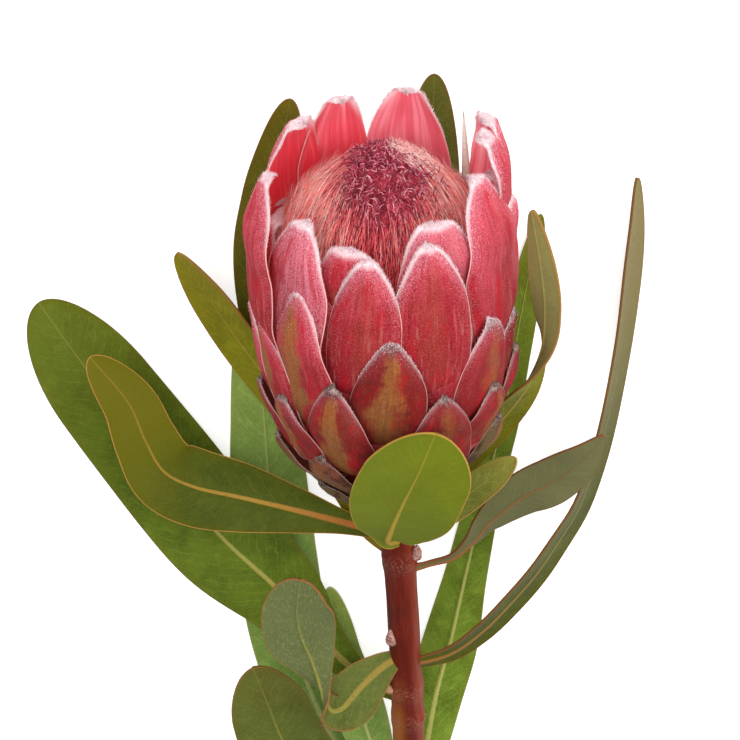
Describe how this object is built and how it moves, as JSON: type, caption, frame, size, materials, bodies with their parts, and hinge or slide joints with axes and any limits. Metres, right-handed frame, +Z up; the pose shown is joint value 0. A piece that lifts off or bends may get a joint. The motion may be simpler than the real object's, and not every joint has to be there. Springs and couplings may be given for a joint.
{
  "type": "protea flower",
  "caption": "Cut protea lying down: a half-open head of overlapping pointed bracts round a domed floret centre, on a short woody stem with leathery leaves.",
  "frame": {"origin": "on the resting surface, under the middle of the whole spray", "axes": "+Y along the spray, towards the flower's tip; +Z up from the surface; +X to the right seen from above"},
  "size_m": [0.1616, 0.2399, 0.0786],
  "materials": {
    "bract": "soft velvet, matte",
    "floret": "hairy, matte",
    "stem": "smooth, slightly glossy",
    "leaf": "leathery, satin"
  },
  "bodies": {
    "root": {"bracts": "bract", "florets": "floret", "stem": "stem", "leaf_front_oval": "leaf", "leaf_left_behind": "leaf", "leaf_left_broad": "leaf", "leaf_left_curled": "leaf", "leaf_left_folded": "leaf", "leaf_left_pale": "leaf", "leaf_left_side": "leaf", "leaf_left_under": "leaf", "leaf_lower_left": "leaf", "leaf_right_curved": "leaf", "leaf_right_long": "leaf", "leaf_right_small": "leaf", "leaf_right_twisted": "leaf", "leaf_right_under": "leaf", "leaf_under_head": "leaf"}
  },
  "joints": []
}
